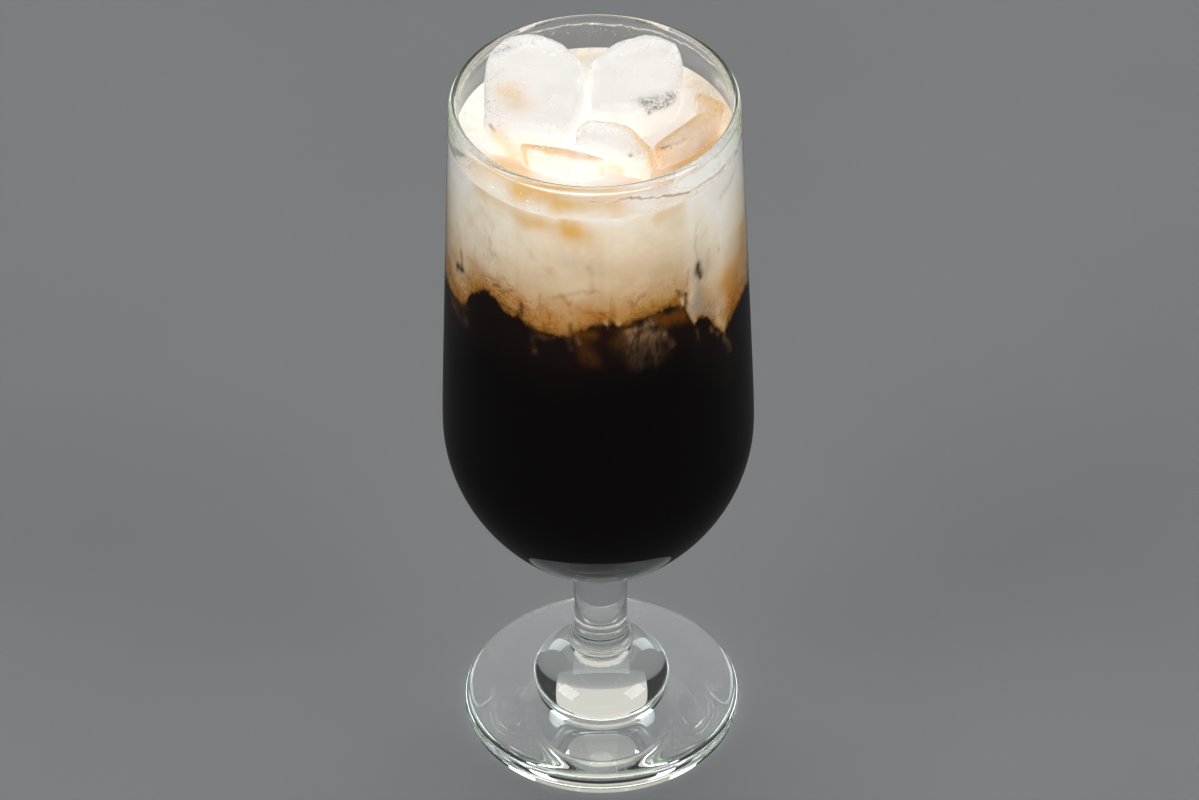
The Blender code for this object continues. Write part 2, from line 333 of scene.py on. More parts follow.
DRIFTING_NOISE = drifting_noise_group()
print("the drifting noise is a group of", len(DRIFTING_NOISE.nodes), "nodes")

# %% Short ways to add nodes
def drifting_noise(tree, vector, scale, stretch=1.0, push=0.0, push_scale=60.0, detail=3.0):
    """Place the group in a material and hand back its value."""
    return add_node(tree, "ShaderNodeGroup", {"node_tree": DRIFTING_NOISE}, {
        "Vector": vector, "Scale": scale, "Height Stretch": stretch, "Push": push,
        "Push Scale": push_scale, "Detail": detail}).outputs["Value"]


def math_node(tree, operation, *values, clamp=False):
    """A Math node whose inputs are sockets or plain numbers."""
    settings = {"operation": operation, "use_clamp": clamp}
    return add_node(tree, "ShaderNodeMath", settings, dict(enumerate(values))).outputs[0]


def times(tree, first, second, clamp=False):
    """The product of two values."""
    return math_node(tree, "MULTIPLY", first, second, clamp=clamp)


def spread(tree, value, low, high, to_low=0.0, to_high=1.0, smooth=True):
    """Map a value from one range to another, without passing its ends."""
    settings = {"interpolation_type": "SMOOTHSTEP" if smooth else "LINEAR", "clamp": True}
    return add_node(tree, "ShaderNodeMapRange", settings, {
        0: value, 1: low, 2: high, 3: to_low, 4: to_high}).outputs[0]


def mix_colour(tree, factor, first, second, blend="MIX"):
    """Mix two colours, each a socket or a plain colour."""
    settings = {"data_type": "RGBA", "blend_type": blend}
    return add_node(tree, "ShaderNodeMix", settings, {0: factor, 6: first, 7: second}).outputs[2]


def colour_ramp(tree, value, stops):
    """A colour ramp from places and their colours."""
    node = add_node(tree, "ShaderNodeValToRGB", values={0: value})
    ramp = node.color_ramp
    while len(ramp.elements) < len(stops):
        ramp.elements.new(0.5)
    for element, (place, colour) in zip(ramp.elements, stops):
        element.position = place
        element.color = colour
    return node.outputs[0]


def bump(tree, height, strength, distance):
    """Tilt a surface by a height, as fine relief would."""
    return add_node(tree, "ShaderNodeBump", values={
        "Height": height, "Strength": strength, "Distance": distance}).outputs[0]


# %% [markdown]
# ## Clear glass
# Plain glass is almost colourless across its wall, and green where the eye looks along it, as at
# the sides of the rim. A weak absorption through the volume gives the first. A tint on the last
# millimetres under the rim, only where they are seen edge on, gives the second. Shadow rays pass
# straight through, because a path tracer finds lamps through curved glass only by luck, and the
# drink behind it would come out dark and noisy.

# %% The glass material
GLASS_IOR = 1.5
GLASS_ABSORBS = (0.76, 0.86, 0.73, 1.0)
GLASS_DENSITY = 8.0
GLASS_SHADOW = (0.97, 0.97, 0.965, 1.0)
EDGE_ON_TINT = (0.64, 0.86, 0.44, 1.0)
# The tint grows between two heights, and between two values of Facing
TINT_LOW, TINT_HIGH = GLASS_HEIGHT - 0.0060, GLASS_HEIGHT - 0.0030
FACING_LOW, FACING_HIGH = 0.56, 0.76


def let_shadow_rays_through(tree, shader, colour):
    """Let shadow rays through a shader, tinted by a colour."""
    rays = add_node(tree, "ShaderNodeLightPath")
    clear = add_node(tree, "ShaderNodeBsdfTransparent", values={"Color": colour})
    mix = add_node(tree, "ShaderNodeMixShader", values={
        0: rays.outputs["Is Shadow Ray"], 1: shader.outputs[0], 2: clear.outputs[0]})
    fill_inputs(tree, tree.nodes["Material Output"], {"Surface": mix.outputs[0]})


def glass_material():
    """Clear soda glass with fine polishing waves."""
    material, tree, shader, place = new_material("clear_glass")
    waves = drifting_noise(tree, place, 90.0, stretch=1.6, detail=1.0)
    height = add_node(tree, "ShaderNodeSeparateXYZ", values={0: place}).outputs["Z"]
    facing = add_node(tree, "ShaderNodeLayerWeight", values={"Blend": 0.5}).outputs["Facing"]
    edge_on = times(tree, spread(tree, facing, FACING_LOW, FACING_HIGH),
                    spread(tree, height, TINT_LOW, TINT_HIGH))
    shader.inputs["Base Color"].default_value = WHITE
    fill_inputs(tree, shader, {
        "Base Color": mix_colour(tree, edge_on, WHITE, EDGE_ON_TINT), "Roughness": 0.0,
        "IOR": GLASS_IOR, "Transmission Weight": 1.0, "Normal": bump(tree, waves, 0.02, 0.001)})
    absorb = add_node(tree, "ShaderNodeVolumeAbsorption",
                      values={"Color": GLASS_ABSORBS, "Density": GLASS_DENSITY})
    fill_inputs(tree, tree.nodes["Material Output"], {"Volume": absorb.outputs[0]})
    let_shadow_rays_through(tree, shader, GLASS_SHADOW)
    return material


glass.data.materials.append(glass_material())
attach(glass, "root")
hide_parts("glass")
print("the glass has the material", glass.data.materials[0].name)

# %% [markdown]
# ## Where coffee meets milk
# Milk poured over coffee ends in an uneven border: it sags in tongues and is pushed up between
# them. The stops below give that line all round the glass. Azimuth is in degrees from the front
# and grows to the right as a viewer sees it. Heights are in millimetres over the foot's underside.

# %% The border
# Azimuth and height of each stop
BORDER_STOPS = (
    (-180, 132.5), (-160, 134.5), (-150, 127.5), (-140, 131.5), (-115, 134.0), (-100, 136.5),
    (-90, 139.0), (-80, 141.3), (-70, 141.6), (-64, 142.2), (-61, 143.8), (-58, 147.5),
    (-55, 149.2), (-52, 151.2), (-49, 152.8), (-46, 152.6), (-42, 151.8), (-38, 150.0),
    (-34, 149.6), (-32, 151.0), (-29, 149.0), (-25, 148.0), (-20, 148.1), (-15, 147.3),
    (-11, 147.2), (-8, 148.4), (-5, 149.0), (-3, 151.0), (0, 150.5), (2, 151.3), (4, 150.2),
    (6, 151.6), (8, 150.2), (12, 151.1), (17, 151.9), (22, 152.1), (27, 152.8), (32, 152.7),
    (35, 151.6), (37, 148.6), (39, 145.6), (40.3, 144.0), (42, 145.8), (44, 146.2),
    (47, 144.5), (50, 141.5), (53, 138.8), (55.5, 136.6), (57, 135.4), (59, 137.2),
    (63, 138.6), (68, 139.4), (75, 140.2), (82, 139.0), (90, 136.0), (100, 132.8),
    (115, 131.0), (128, 126.8), (140, 131.0), (160, 133.0), (180, 132.5),
)
DRINK_LEVEL = 0.1803
MENISCUS_RISE = 0.0006
MENISCUS_WIDTH = 0.0025
AROUND = 540
WALL_REACH = 0.00012


def border_height(azimuth):
    """Height of the border, in metres, at azimuths in degrees."""
    stops = np.array(BORDER_STOPS)
    turned_back = (np.asarray(azimuth) + 180.0) % 360.0 - 180.0
    return np.interp(turned_back, stops[:, 0], stops[:, 1]) / 1000.0


ring_turns = 2 * math.pi * np.arange(AROUND) / AROUND
ring_azimuths = np.degrees(ring_turns) + 90.0
ring_border = border_height(ring_azimuths)
print("the border runs from", ring_border.min(), "to", ring_border.max())

# %% [markdown]
# ## Strokes
# The drink isn't one colour: coffee creeps up the wall in amber veils, hangs in brown drops and
# hair-thin trails, and milk sinks in pale and turbid plumes. Each is painted as a soft stroke,
# with two ends, a half width in millimetres and a strength. On the wall an end is an azimuth
# and a height, on the surface it is a place in plan. Noise in the material frays the strokes.

# %% Amber and brown on the wall
# Start azimuth and height, end azimuth and height, half width, strength
AMBER_ON_WALL = (
    (-13, 181, -10, 178.8, 2.4, 0.38), (-10, 178.4, -7, 178.0, 3.0, 0.45),
    (-28, 177.2, -12, 178.8, 2.2, 0.36), (-17, 175.5, -4, 176, 3.6, 0.24),
    (-52, 180, -24, 178.6, 2.6, 0.45), (25, 178.3, 36, 180, 1.5, 0.4),
    (60, 150, 66, 146, 4.6, 0.9), (70, 152, 62, 141, 3.6, 0.7), (75, 158, 78, 150, 2.6, 0.6),
    (-78, 148, -66, 145.5, 2.4, 0.9), (-62, 150.4, -52, 152, 0.9, 0.7),
    (-75, 153, -66, 155, 2.2, 0.4), (-41, 156.6, -33, 155, 1.0, 0.5),
    (-14, 158, -6, 155, 2.6, 0.4), (-22, 157, -18, 153, 1.6, 0.4),
    (-6, 155.4, 6, 154.4, 1.2, 0.5), (31.5, 154.8, 34, 153, 0.8, 0.6),
    (-28, 152.4, -5, 151.4, 3.4, 0.6), (0, 153.6, 22, 155, 2.6, 0.4),
    (-58, 156, -34, 154, 2.6, 0.35), (-12, 172, 8, 164, 7.0, 0.14), (22, 155, 28, 154, 1.2, 0.3),
    (140, 165, 150, 150, 6.0, 0.6), (-140, 170, -128, 150, 5.0, 0.6),
    (175, 150, 165, 145, 4.0, 0.6),
)
BROWN_ON_WALL = (
    (22, 151, 36, 150, 1.2, 0.9), (27, 149.6, 37, 148.6, 1.5, 0.9),
    (-9, 148, -1, 148.6, 1.5, 0.8), (-5.5, 145.5, -2.5, 141, 2.0, 0.55),
    (-40, 151.2, -32, 150.2, 0.8, 0.8), (-28, 148.4, -21, 147.2, 0.6, 0.5),
    (12, 149.5, 8, 146, 2.2, 0.45), (60, 139, 72, 141, 0.8, 0.5),
    (-62, 143.5, -72, 140, 1.2, 0.5),
)
print("amber and brown strokes:", len(AMBER_ON_WALL) + len(BROWN_ON_WALL))

# %% Dark drops and hair-thin trails on the wall
DARK_ON_WALL = (
    (-67.5, 151.8, -63.5, 153.2, 1.0, 0.95), (-64.4, 154.4, -65.6, 157.5, 0.5, 0.6),
    (-62.5, 153.4, -57.5, 152.8, 0.4, 0.5), (43.4, 161.4, 43.8, 158.2, 1.0, 0.95),
    (-43.8, 156.2, -42.4, 156.5, 0.6, 0.45), (-32, 153.9, -32.4, 151, 0.6, 0.8),
    (32.3, 156.2, 32.6, 154.8, 0.4, 0.7), (34.8, 154.6, 37, 150, 0.45, 0.9),
    (1, 151.2, 3, 150.8, 0.8, 0.9), (6, 152.4, 6.3, 150, 0.5, 0.8),
    (-10.6, 151, -10, 148.4, 0.5, 0.7), (-50.5, 152.6, -46, 153.2, 0.4, 0.7),
)
TRAILS_ON_WALL = (
    (42.2, 163, 42.4, 172, 0.35, 0.4), (35.8, 156, 38.6, 161, 0.35, 0.7),
    (5.4, 158.5, 5.6, 152.5, 0.3, 0.5), (6.8, 157, 6.6, 152.5, 0.3, 0.4),
    (-22, 158.5, -22.4, 155, 0.35, 0.5), (-18.4, 158.5, -18.6, 152.5, 0.3, 0.4),
    (-9, 158, -9.6, 154, 0.4, 0.5), (-1, 168, -1.2, 161, 0.5, 0.25),
    (-20.5, 165.5, -19, 166, 0.9, 0.35), (-2.8, 167.7, -2.6, 167.4, 0.7, 0.35),
    (-16, 158.5, 0, 161.5, 0.6, 0.4), (-38.5, 159.4, -35, 158, 0.6, 0.6),
    (-40, 155.2, -36, 157, 0.5, 0.6), (-36, 157, -30.5, 156.4, 0.5, 0.6),
    (-46, 157.5, -40, 159, 0.5, 0.4), (55.5, 161.8, 55.9, 161.4, 0.5, 0.5),
    (-6, 155, 5, 155, 0.35, 0.5), (23, 155, 27, 153.6, 0.5, 0.5), (-60, 157, -56, 158, 0.6, 0.3),
    (-14, 160, -10, 157, 0.5, 0.5), (-27, 169, -24, 167, 0.8, 0.25),
    (57, 175.6, 70, 177.8, 1.0, 0.4), (12, 157, 18, 158.5, 0.5, 0.3),
    (50, 164, 47, 156, 0.6, 0.25),
)
print("dark strokes and trails:", len(DARK_ON_WALL) + len(TRAILS_ON_WALL))

# %% Pale, grey and turbid milk on the wall
PALE_ON_WALL = (
    (-48, 178, -38, 177.4, 2.6, 0.6), (38.2, 154, 39.6, 146.4, 0.8, 0.30),
    (45, 171, 64, 170, 6.0, 0.5), (33.4, 153.6, 35.4, 151.4, 0.4, 0.5),
    (10, 152, 3, 152.4, 0.5, 0.15), (-8, 151.6, -2, 152.3, 0.4, 0.15),
    (-70, 166, -48, 162, 4.0, 0.35), (-62, 175, -44, 170, 5.0, 0.45),
    (52, 146, 56.6, 138, 0.9, 0.18), (-150, 165, -165, 150, 6.0, 0.4),
)
GREY_ON_WALL = (
    (42.4, 158, 43.2, 151, 2.0, 0.55), (43.4, 150, 49, 146, 2.2, 0.65),
    (40, 167, 48, 160, 3.0, 0.25), (-12, 170, -2, 168, 4.0, 0.2), (66, 187, 74, 185, 1.0, 0.3),
)
TURBID_IN_COFFEE = (
    (13, 149.6, 21, 150.2, 1.0, 0.9), (14, 146.6, 22, 145.6, 2.4, 0.9),
    (26, 146, 29, 142, 1.0, 0.6), (-11.4, 146.4, -11, 143.2, 0.6, 0.35),
    (-7.6, 147.2, -7.4, 145, 0.5, 0.4), (-25, 146, -17, 147, 0.8, 0.22),
    (-25.5, 145, -23.5, 140.5, 0.8, 0.14), (-23.2, 141.4, -23, 141.4, 0.5, 0.3),
    (12, 143, 16, 138.6, 1.8, 0.35), (20, 142, 25, 139, 1.8, 0.35), (56, 135, 61, 130, 0.8, 0.5),
    (49, 141, 53, 137, 0.6, 0.5), (-72, 140, -62, 139, 1.8, 0.22), (40.5, 143, 42, 140, 0.6, 0.3),
    (128, 125, 130, 118, 1.2, 0.5), (-150, 125, -152, 120, 1.2, 0.5),
    (165, 130, 170, 126, 2.0, 0.5),
)
print("pale, grey and turbid strokes:",
      len(PALE_ON_WALL) + len(GREY_ON_WALL) + len(TURBID_IN_COFFEE))

# %% How a stroke is painted
MM_PER_DEGREE = math.pi / 180.0 * INNER_RADIUS * 1000.0
# The vector noise starts from the clock unless it's given a seed
CURL_SEED = 11
noise.seed_set(CURL_SEED)


def azimuth_of(x, y):
    """Azimuth of places, in degrees from the front."""
    return np.degrees(np.arctan2(y, x)) + 90.0


def curled(places, sizes):
    """Push places, in millimetres, about by noises of several sizes, as currents do."""
    moved = places.copy()
    for size, amount in sizes:
        moved += amount * np.array([noise.noise_vector(Vector(place) / size) for place in places])
    return moved


def soft_stroke(across, along, reach_across, reach_along, half_width):
    """Strength of one stroke where its start is the origin and its end is the reach."""
    length = max(reach_across ** 2 + reach_along ** 2, 1e-9)
    share = np.clip((across * reach_across + along * reach_along) / length, 0.0, 1.0)
    away = np.hypot(across - share * reach_across, along - share * reach_along)
    return np.exp(-(away / half_width) ** 2)


def wall_strokes(strokes, azimuth, height):
    """Sum the strokes at places on the wall; azimuth in degrees, height in millimetres."""
    total = np.zeros_like(azimuth)
    for start_azimuth, start, end_azimuth, end, half_width, strength in strokes:
        turned_back = (azimuth - start_azimuth + 180.0) % 360.0 - 180.0
        total += strength * soft_stroke(
            turned_back * MM_PER_DEGREE, height - start,
            (end_azimuth - start_azimuth) * MM_PER_DEGREE, end - start, half_width)
    return total


print("one degree of azimuth on the wall, in millimetres:", MM_PER_DEGREE)

# %% Strokes on the milk's surface, in plan
# Start x and y, end x and y, half width, strength
AMBER_ON_TOP = (
    (24, 20, 30, 6, 4.0, 0.33), (-2, 29, 4, 28, 3.0, 0.16), (-8, -27.5, 4, -27, 3.4, 0.47),
    (-14, -23.5, 4, -24, 3.6, 0.39), (-27, -10, -16, -20, 4.0, 0.59),
    (-16, -20, -8, -25, 3.6, 0.47), (29, 2, 22, -10, 4.0, 0.55), (18, -14, 8, -20, 3.4, 0.43),
    (15, -9, 13, -12, 2.2, 0.62), (27, 12, 29, 9, 2.0, 0.31), (20, -14, 27, -4, 3.5, 0.39),
    (-22, -10, -16, -13.5, 2.4, 0.47), (14, -25, 20, -23, 1.0, 0.23), (6, 27, 14, 26, 3.0, 0.16),
    (4, -30, 16, -28, 1.6, 0.23),
)
PALE_ON_TOP = (
    (22, -21, 28, -12, 3.0, 0.8), (-28, 0, -26, 14, 4.0, 0.7), (-4, 28, 4, 28, 3.0, 0.8),
)
GREY_ON_TOP = ((24, 22, 28, 16, 3.0, 0.35), (-14, 29, -6, 30, 1.6, 0.3))
FROTH_ON_TOP = (
    (20, 25, 28, 15, 2.6, 0.7), (30, 10, 30, -8, 1.4, 0.4), (21, -23, 29, -12, 2.4, 0.9),
    (10, -30, 21, -24, 1.6, 0.6), (-31, 8, -28, -12, 1.8, 0.5), (-24, -20, -12, -29, 1.8, 0.5),
    (-10, 31, 8, 31, 1.5, 0.5), (-2, -4, -1.6, 14, 0.9, 0.6), (-4, -20, 4, -22, 1.6, 0.4),
)


def surface_strokes(strokes, x, y):
    """Sum the strokes at places on the surface, in millimetres."""
    total = np.zeros_like(x)
    for start_x, start_y, end_x, end_y, half_width, strength in strokes:
        total += strength * soft_stroke(
            x - start_x, y - start_y, end_x - start_x, end_y - start_y, half_width)
    return total


print("strokes on the surface:", len(AMBER_ON_TOP + PALE_ON_TOP + GREY_ON_TOP + FROTH_ON_TOP))

# %% [markdown]
# ## Coffee and milk
# Each layer is a closed mesh made of rings. Its side reaches just into the glass wall, so no air
# shows between them. The strokes are stored on its points as numbers, for the material.

# %% Rings into meshes
HIDDEN_SHEET_SHARES = (0.02, 0.2, 0.6, 0.97)


def ring_mesh(name, rings, hollow=False):
    """A closed mesh from rings of equal length: with both ends capped, or joined if hollow."""
    shape = bmesh.new()
    made = [[shape.verts.new(point) for point in ring] for ring in rings]
    for lower, upper in zip(made, made[1:] + made[:1] if hollow else made[1:]):
        for index in range(len(lower)):
            after = (index + 1) % len(lower)
            shape.faces.new((lower[index], lower[after], upper[after], upper[index]))
    if not hollow:
        shape.faces.new(made[0][::-1])
        shape.faces.new(made[-1])
    mesh = mesh_from(name, shape)
    mesh.shade_smooth()
    return mesh


def wall_ring(heights, reach=WALL_REACH):
    """One ring of points on the inner wall, with a height for each."""
    ring = []
    for turn, height in zip(ring_turns, heights):
        radius = bowl_radius(float(height), INNER_RADIUS, INNER_DEPTH) + reach
        ring.append((radius * math.cos(turn), radius * math.sin(turn), float(height)))
    return ring


def under_milk_rings():
    """The hidden sheet between the layers, from near the axis out to the border."""
    middle = float(ring_border.mean())
    edge = wall_ring(ring_border)
    rings = []
    for share in HIDDEN_SHEET_SHARES:
        blend = share ** 2
        rings.append([(x * share, y * share, middle + (z - middle) * blend) for x, y, z in edge])
    return rings


# %% Numbers on the points of a mesh
# What the surface stores as its height over the border, in millimetres
SURFACE_MARK = 36.0
# Size and amount of each curl, in millimetres
DRINK_CURLS = ((7.0, 1.5), (2.2, 0.5))


def store_numbers(mesh, name, numbers):
    """Keep one number for each point of a mesh."""
    attribute = mesh.attributes.new(name, "FLOAT", "POINT")
    attribute.data.foreach_set("value", np.ascontiguousarray(numbers, dtype=np.float32))


def store_strokes(mesh, is_surface):
    """Store the height over the border, and the strokes, on every point."""
    places = np.array([vertex.co[:] for vertex in mesh.vertices])
    azimuth = azimuth_of(places[:, 0], places[:, 1])
    over = (places[:, 2] - border_height(azimuth)) * 1000.0
    x, y, z = curled(places * 1000.0, DRINK_CURLS).T
    azimuth = azimuth_of(x, y)
    store_numbers(mesh, "over_border", np.where(is_surface, SURFACE_MARK, over))
    for name, on_wall, on_top in (
        ("amber", AMBER_ON_WALL, AMBER_ON_TOP), ("brown", BROWN_ON_WALL, ()),
        ("dark", DARK_ON_WALL, ()), ("trails", TRAILS_ON_WALL, ()),
        ("pale", PALE_ON_WALL, PALE_ON_TOP), ("grey", GREY_ON_WALL, GREY_ON_TOP),
        ("turbid", TURBID_IN_COFFEE, ()), ("froth", (), FROTH_ON_TOP),
    ):
        wall = wall_strokes(on_wall, azimuth, z)
        top = surface_strokes(on_top, x, y)
        store_numbers(mesh, name, np.where(is_surface, top, wall))


# %% Pour the coffee
CUP_ROWS = 60
WALL_ROWS = 12
# The rows are closer together just under the border, where the strokes are
FINE_ROWS = 44
FINE_ZONE = 0.020


def coffee_rings():
    """From the bowl's floor up the wall to the border, then in over the top."""
    rings = []
    low_end = ring_border - FINE_ZONE
    cup = cup_curve(INNER_RADIUS + WALL_REACH, INNER_DEPTH + WALL_REACH, CUP_ROWS)
    for radius, height in cup[1:]:
        rings.append([(radius * math.cos(turn), radius * math.sin(turn), height)
                      for turn in ring_turns])
    for row in range(1, WALL_ROWS + 1):
        rings.append(wall_ring(BELLY_HEIGHT + (low_end - BELLY_HEIGHT) * row / WALL_ROWS))
    for row in range(1, FINE_ROWS + 1):
        rings.append(wall_ring(low_end + FINE_ZONE * row / FINE_ROWS))
    return rings + under_milk_rings()[::-1]


coffee = new_object("black_coffee", ring_mesh("black_coffee", coffee_rings()))
store_strokes(coffee.data, np.zeros(len(coffee.data.vertices), dtype=bool))
print("the coffee has", triangle_count(coffee), "triangles")

# %% Pour the milk
MILK_ROWS = 72
MENISCUS_ROWS = 8
SURFACE_ROWS = 56


def milk_rings():
    """Under the middle, out to the border, up the wall, and in over the surface."""
    rings = under_milk_rings()
    lip = DRINK_LEVEL + MENISCUS_RISE
    for row in range(MILK_ROWS + 1):
        rings.append(wall_ring(ring_border + (lip - ring_border) * row / MILK_ROWS))
    on_wall = len(rings)
    top_edge = rings[-1]
    lip_radius = math.hypot(*top_edge[0][:2])
    for row in range(1, MENISCUS_ROWS + 1):
        drop = row / MENISCUS_ROWS
        share = 1.0 - drop * MENISCUS_WIDTH / lip_radius
        height = lip - MENISCUS_RISE * (1 - (1 - drop) ** 2)
        rings.append([(x * share, y * share, height) for x, y, _ in top_edge])
    inner_share = 1.0 - MENISCUS_WIDTH / lip_radius
    for row in range(1, SURFACE_ROWS + 1):
        share = inner_share * (1.0 - row / (SURFACE_ROWS + 0.5))
        rings.append([(x * share, y * share, DRINK_LEVEL) for x, y, _ in top_edge])
    return rings, on_wall


made_rings, rings_on_wall = milk_rings()
milk = new_object("creamy_milk", ring_mesh("creamy_milk", made_rings))
point_numbers = np.arange(len(milk.data.vertices))
on_surface = point_numbers >= rings_on_wall * AROUND
store_strokes(milk.data, on_surface)
print("the milk has", triangle_count(milk), "triangles")

# %% Ripple the surface
LIP_RADIUS = bowl_radius(DRINK_LEVEL + MENISCUS_RISE, INNER_RADIUS, INNER_DEPTH)
RIPPLES = ((0.0070, 0.00030), (0.0024, 0.00012))
FROTH_LUMPS = ((0.0016, 0.00030), (0.0008, 0.00014))
CALM_EDGE = 0.002


def ripple_surface(mesh, is_surface):
    """Lift and lower the surface a little, most where it froths, and not at the wall."""
    froth = np.zeros(len(mesh.vertices), dtype=np.float32)
    mesh.attributes["froth"].data.foreach_get("value", froth)
    for index in np.flatnonzero(is_surface):
        place = mesh.vertices[index].co
        inward = min(1.0, max(0.0, (LIP_RADIUS - place.xy.length) / CALM_EDGE))
        lift = sum(amount * noise.noise(place / size) for size, amount in RIPPLES)
        lift += float(froth[index]) * sum(
            amount * noise.noise(place / size) for size, amount in FROTH_LUMPS)
        place.z += lift * inward


ripple_surface(milk.data, on_surface)
surface_heights = [milk.data.vertices[index].co.z for index in np.flatnonzero(on_surface)]
print("the milk's surface runs from", min(surface_heights), "to", max(surface_heights))

# %% [markdown]
# ## How the drink is coloured
# Seen through the wall, the milk pales from tan over the border to cream near the surface. The
# border itself breaks into curls: hair-thin lines of brown run through the tan. Below it the
# coffee is almost black, with plumes of turbid milk. One material serves both layers, so the
# seam between the two meshes can't be seen. Only the surface, in air, has a wet gloss.

# %% Colours of the drink
AMBER_TINT = (0.86, 0.56, 0.22, 1.0)
TRAIL_TINT = (0.58, 0.41, 0.18, 1.0)
BROWN = screen_colour(92, 52, 12)
DARK_BROWN = screen_colour(40, 22, 12)
PALE_CREAM = screen_colour(250, 240, 223)
GREY_MILK = screen_colour(156, 144, 132)
TURBID = screen_colour(132, 100, 70)
DEEP_COFFEE = screen_colour(5, 3, 3)
# Millimetres over the border, and the milk's colour there
MILK_STOPS = (
    (-1.0, screen_colour(20, 11, 8)), (-0.3, screen_colour(34, 18, 8)),
    (0.3, screen_colour(98, 60, 20)), (1.2, screen_colour(162, 118, 56)),
    (3.0, screen_colour(184, 144, 88)), (6.0, screen_colour(196, 160, 118)),
    (12.0, screen_colour(210, 184, 150)), (20.0, screen_colour(228, 206, 176)),
    (28.0, screen_colour(240, 225, 202)), (35.0, screen_colour(249, 241, 232)),
)
RAMP_LOW, RAMP_HIGH = -1.0, SURFACE_MARK
print("the milk's colour has", len(MILK_STOPS), "stops")

# %% What the drink's finish is made of
def attribute_value(tree, name):
    """A number stored on the mesh."""
    return add_node(tree, "ShaderNodeAttribute", {"attribute_name": name}).outputs["Fac"]


def centred(tree, value, amount):
    """A noise value turned into a swing of so many millimetres to either side."""
    middle = math_node(tree, "SUBTRACT", value, 0.5)
    return times(tree, middle, amount)


def thin_lines(tree, value, width):
    """Thin curling lines, where a noise passes through its middle value."""
    away = math_node(tree, "ABSOLUTE", math_node(tree, "SUBTRACT", value, 0.5))
    return spread(tree, away, width, 0.0)


def marbled_milk(tree, noises, over):
    """The milk's colour by its height over the border, with brown hair lines near the border."""
    broad = noises["broad"]
    edge = math_node(tree, "ADD", over, centred(tree, broad, 3.0))
    edge = math_node(tree, "ADD", edge, centred(tree, noises["curls"], 3.4))
    edge = math_node(tree, "ADD", edge, centred(tree, noises["fine"], 1.4))
    drift = times(tree, centred(tree, broad, 14.0), spread(tree, over, 1.0, 12.0))
    place_in_ramp = spread(tree, math_node(tree, "ADD", edge, drift), RAMP_LOW, RAMP_HIGH,
                           smooth=False)
    colour = colour_ramp(tree, place_in_ramp, [
        ((height - RAMP_LOW) / (RAMP_HIGH - RAMP_LOW), tone) for height, tone in MILK_STOPS])
    fringe = times(tree, spread(tree, edge, 0.2, 1.5), spread(tree, over, 11.0, 3.0))
    lines = math_node(tree, "MAXIMUM", thin_lines(tree, noises["swirls"], 0.05),
                      thin_lines(tree, noises["fibres"], 0.04))
    lines = times(tree, lines, spread(tree, broad, 0.30, 0.55))
    lines = times(tree, times(tree, lines, fringe), 0.8)
    return mix_colour(tree, lines, colour, TRAIL_TINT, blend="MULTIPLY"), edge


def painted_strokes(tree, noises, colour, edge):
    """Lay the stored strokes over the milk and the coffee, each frayed by a noise."""
    in_milk = spread(tree, edge, 0.0, 1.6)
    frayed = spread(tree, noises["curls"], 0.25, 0.55)
    for name, tone, noise_mask, blend in (
        ("pale", PALE_CREAM, frayed, "MIX"),
        ("grey", GREY_MILK, frayed, "MIX"),
        ("amber", AMBER_TINT, spread(tree, noises["broad"], 0.15, 0.55, 0.25, 1.0), "MULTIPLY"),
        ("trails", TRAIL_TINT, spread(tree, noises["fine"], 0.3, 0.6, 0.3, 1.0), "MULTIPLY"),
    ):
        share = times(tree, attribute_value(tree, name), noise_mask, clamp=True)
        colour = mix_colour(tree, times(tree, share, in_milk), colour, tone, blend=blend)
    plume_mask = times(tree, spread(tree, noises["fibres"], 0.36, 0.64, 0.25, 1.0),
                       spread(tree, noises["curls"], 0.25, 0.60, 0.35, 1.0))
    for name, tone, noise_mask in (
        ("dark", DARK_BROWN, spread(tree, noises["fine"], 0.25, 0.5, 0.6, 1.0)),
        ("brown", BROWN, spread(tree, noises["fibres"], 0.3, 0.6, 0.45, 1.0)),
        ("turbid", TURBID, plume_mask),
    ):
        share = times(tree, attribute_value(tree, name), noise_mask, clamp=True)
        colour = mix_colour(tree, share, colour, tone)
    return colour


# %% The drink material
def drink_material():
    """Coffee and milk, marbled where they meet."""
    material, tree, shader, place = new_material("coffee_and_milk")
    noises = {
        "broad": drifting_noise(tree, place, 130.0, push=0.006, push_scale=50.0),
        "curls": drifting_noise(tree, place, 380.0, stretch=1.5, push=0.006, push_scale=150.0),
        "fine": drifting_noise(tree, place, 1200.0, stretch=1.8, push=0.003, push_scale=400.0),
        "fibres": drifting_noise(tree, place, 620.0, stretch=2.6, push=0.008, push_scale=120.0),
        "swirls": drifting_noise(tree, place, 260.0, stretch=0.8, push=0.012, push_scale=110.0),
    }
    over = attribute_value(tree, "over_border")
    colour, edge = marbled_milk(tree, noises, over)
    colour = painted_strokes(tree, noises, colour, edge)
    colour = mix_colour(tree, spread(tree, over, -3.0, -22.0), colour, DEEP_COFFEE)
    in_air = math_node(tree, "GREATER_THAN", over, SURFACE_MARK - 0.1)
    fill_inputs(tree, shader, {
        "Base Color": colour, "Roughness": 0.6, "Specular IOR Level": 0.0,
        "Coat Weight": in_air, "Coat Roughness": 0.06, "Coat IOR": 1.35})
    return material


drink_look = drink_material()
for layer, node, slot in ((coffee, "coffee", "black_coffee"), (milk, "milk", "creamy_milk")):
    layer.data.materials.append(drink_look)
    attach(layer, "root")
    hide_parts(node)
    print(layer.name, "stands for the node", node)

